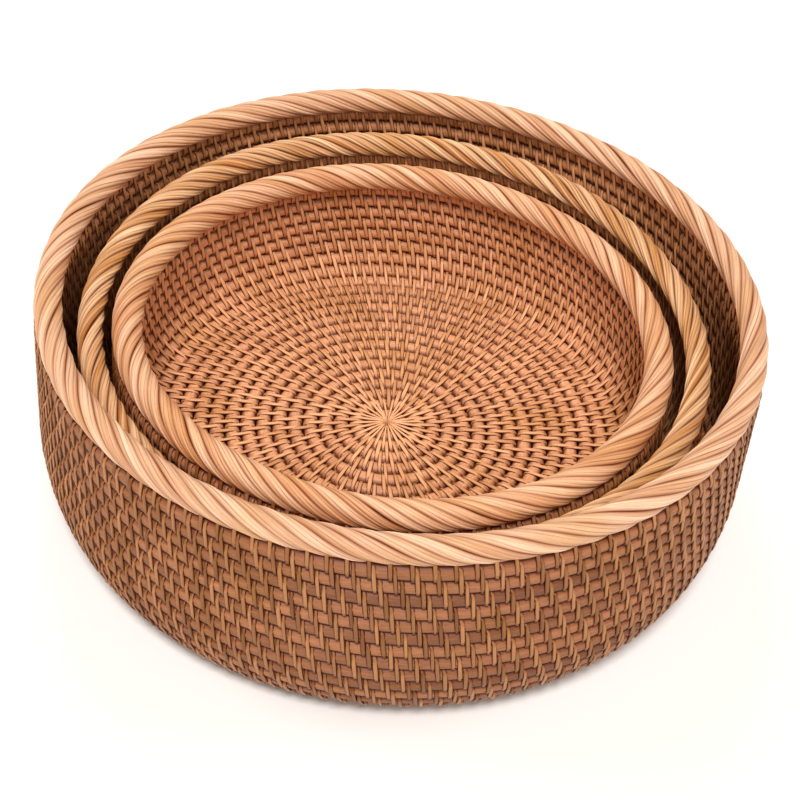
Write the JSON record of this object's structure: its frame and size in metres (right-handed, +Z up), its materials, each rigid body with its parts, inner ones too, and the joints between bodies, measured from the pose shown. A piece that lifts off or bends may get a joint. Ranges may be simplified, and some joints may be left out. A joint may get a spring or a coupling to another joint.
{
  "type": "nested coiled rattan basket set",
  "caption": "Nest of round coiled rattan baskets with bound cane walls and thick rope-wound rims; each basket lifts out of the next.",
  "frame": {"origin": "under the middle of the outer basket's base, on the surface that the nest stands on", "axes": "+Z up through the mouths of the baskets; X and Y across them, the nest is round"},
  "size_m": [0.2638, 0.2638, 0.0899],
  "materials": {
    "foundation_cane": "satin peeled rattan core",
    "binding_strip": "satin rattan skin strip",
    "rim_splint": "satin split rattan"
  },
  "bodies": {
    "outer": {"outer_start_knot": "binding_strip", "outer_base_coil": "foundation_cane", "outer_heel_coil": "foundation_cane", "outer_wall_coil": "foundation_cane", "outer_rim_core": "foundation_cane", "outer_rim_wrap": "rim_splint"},
    "middle": {"middle_start_knot": "binding_strip", "middle_base_coil": "foundation_cane", "middle_heel_coil": "foundation_cane", "middle_wall_coil": "foundation_cane", "middle_rim_core": "foundation_cane", "middle_rim_wrap": "rim_splint"},
    "inner": {"inner_start_knot": "binding_strip", "inner_base_coil": "foundation_cane", "inner_heel_coil": "foundation_cane", "inner_wall_coil": "foundation_cane", "inner_rim_core": "foundation_cane", "inner_rim_wrap": "rim_splint"}
  },
  "joints": [
    {"name": "middle_lift", "type": "slide", "parent": "outer", "child": "middle", "axis": [0, 0, 1], "range_m": [0, 0.1]},
    {"name": "inner_lift", "type": "slide", "parent": "middle", "child": "inner", "axis": [0, 0, 1], "range_m": [0, 0.09]}
  ]
}
